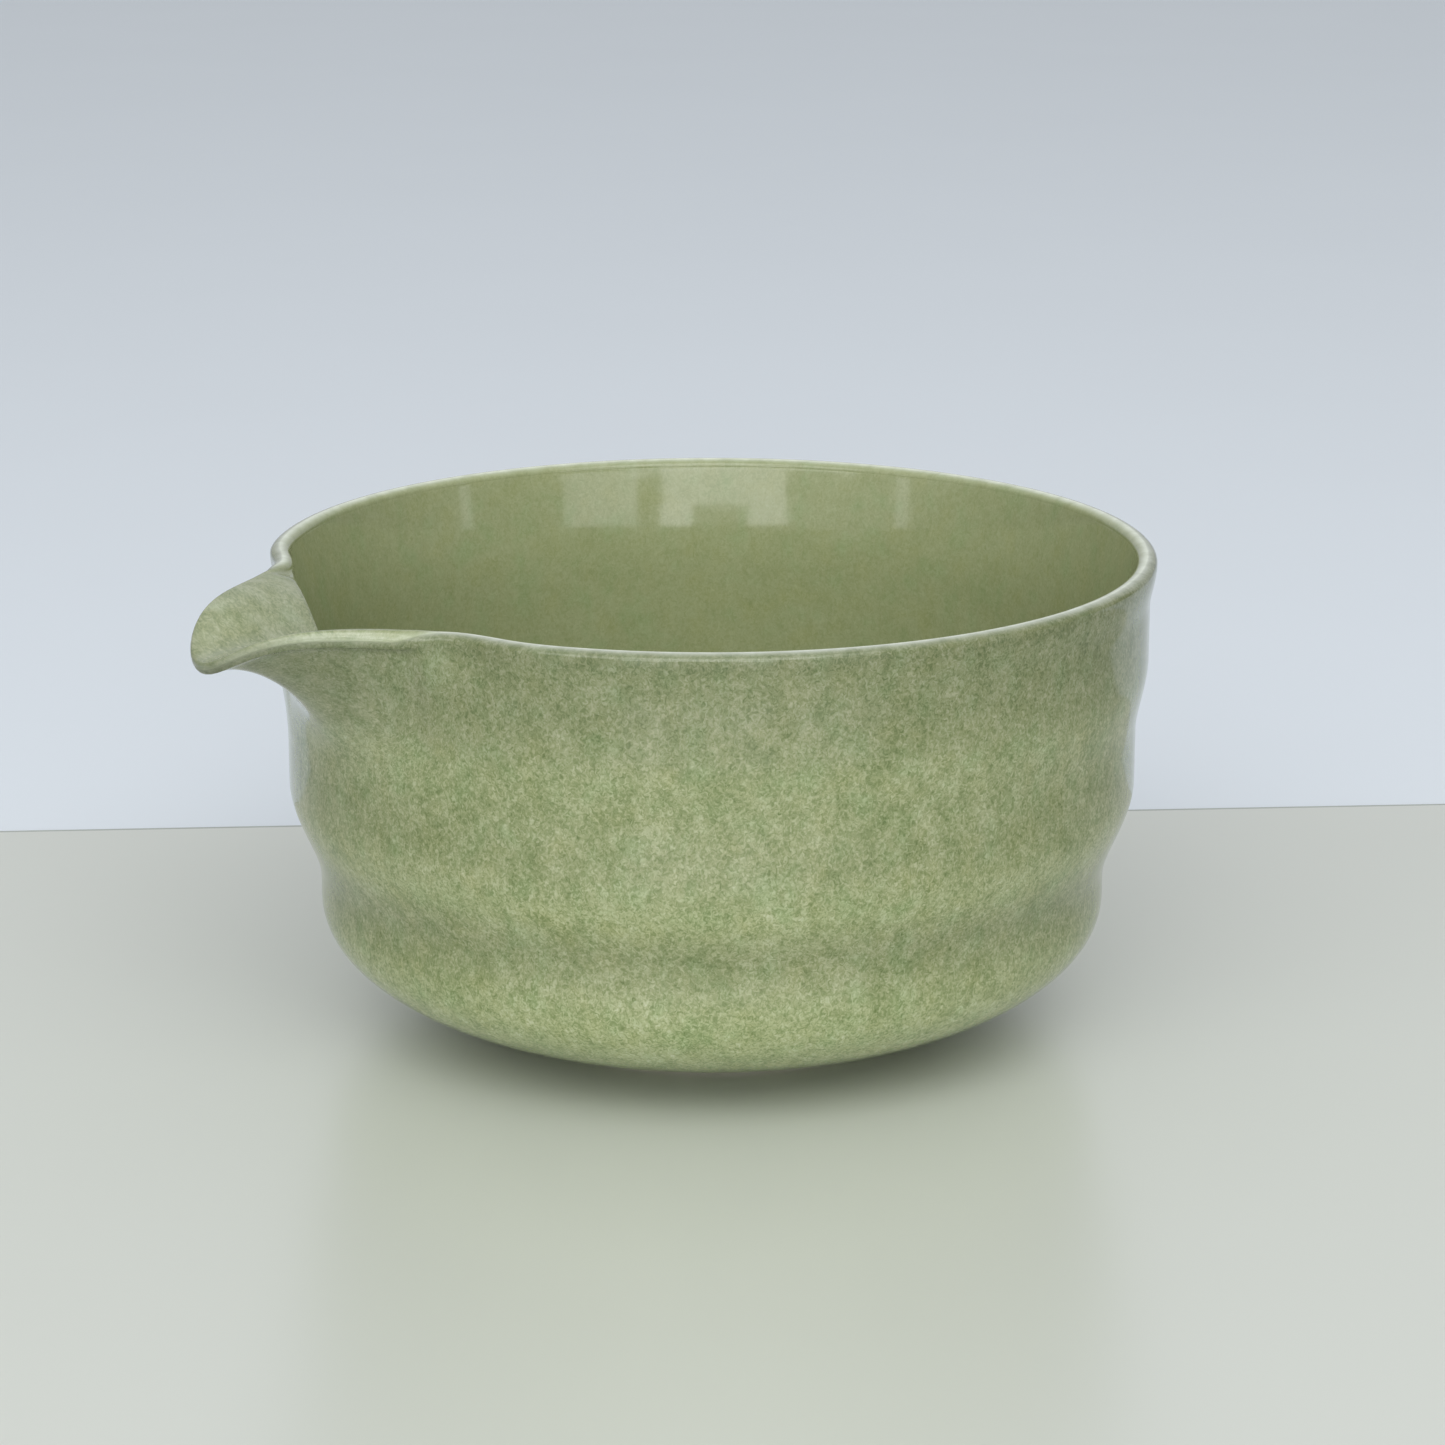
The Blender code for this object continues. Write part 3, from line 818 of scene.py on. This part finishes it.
def make_stage():
    """Pale table that ends behind the bowl, and the pale backdrop beyond it."""
    seam_left = room(-STAGE_REACH, TABLE_END - TABLE_SLANT * STAGE_REACH, 0.0)
    seam_right = room(STAGE_REACH, TABLE_END + TABLE_SLANT * STAGE_REACH, 0.0)
    near_left = room(-STAGE_REACH, -STAGE_REACH, 0.0)
    near_right = room(STAGE_REACH, -STAGE_REACH, 0.0)
    table = plain_material("table_top", TABLE_COLOUR, 0.28, 0.03, 0.6)
    backdrop = plain_material("backdrop", BACKDROP_COLOUR, 0.9, 0.02)
    # The gap's dark colour is painted shade in the seam between the table and the backdrop
    painted_shade_gap = plain_material("table_gap_painted_shade", GAP_PAINTED_SHADE, 0.8, 0.10)
    sheet("table", table, [near_left, near_right, seam_right, seam_left])
    beyond = FORWARD * GAP_WIDTH
    drop = Vector((0.0, 0.0, BACKDROP_DROP))
    sheet("painted_shade_gap", painted_shade_gap, [seam_left - drop / 2, seam_right - drop / 2,
                       seam_right + beyond - drop / 2, seam_left + beyond - drop / 2])
    far = 2 * STAGE_REACH
    sheet("backdrop", backdrop, [room(-far, -far, 0.0) - drop, room(far, -far, 0.0) - drop,
                                 room(far, far, 0.0) - drop, room(-far, far, 0.0) - drop])


def make_lights():
    """Windows behind the camera, which the glaze mirrors, and soft light from above them."""
    target = room(0.0, 0.0, LIGHT_TARGET_Z)
    for name, place, size, power in LIGHTS:
        area_light(name, room(*place), target, size, power)


def make_camera():
    """The camera, looking down at the bowl past its spout."""
    data = bpy.data.cameras.new("camera")
    data.lens = CAMERA_LENS
    data.sensor_width = SENSOR_WIDTH
    data.clip_start, data.clip_end = CAMERA_CLIP
    obj = bpy.data.objects.new("camera", data)
    obj.location = AXIS + Vector(CAMERA_PLACE)
    obj.rotation_euler = (math.radians(90 - CAMERA_DOWN), 0.0, math.radians(CAMERA_AZIMUTH))
    bpy.context.scene.collection.objects.link(obj)
    bpy.context.scene.camera = obj


def main():
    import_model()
    bpy.context.scene.view_settings.view_transform = "Standard"

    glaze, clay = glaze_material(), clay_material()
    for piece, node, slot in (
        (glaze_skin(glaze), "glaze_coat", "green_glaze"),
        (clay_wall(clay), "clay_body", "bare_clay"),
        (spout_clay(clay), "pouring_spout", "bare_clay"),
        (foot_clay(clay), "foot_ring", "bare_clay"),
        (base_patch(glaze), "base_glaze", "green_glaze"),
    ):
        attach(piece, "root")
        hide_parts(node)

    make_world()
    make_stage()
    make_lights()
    make_camera()


main()
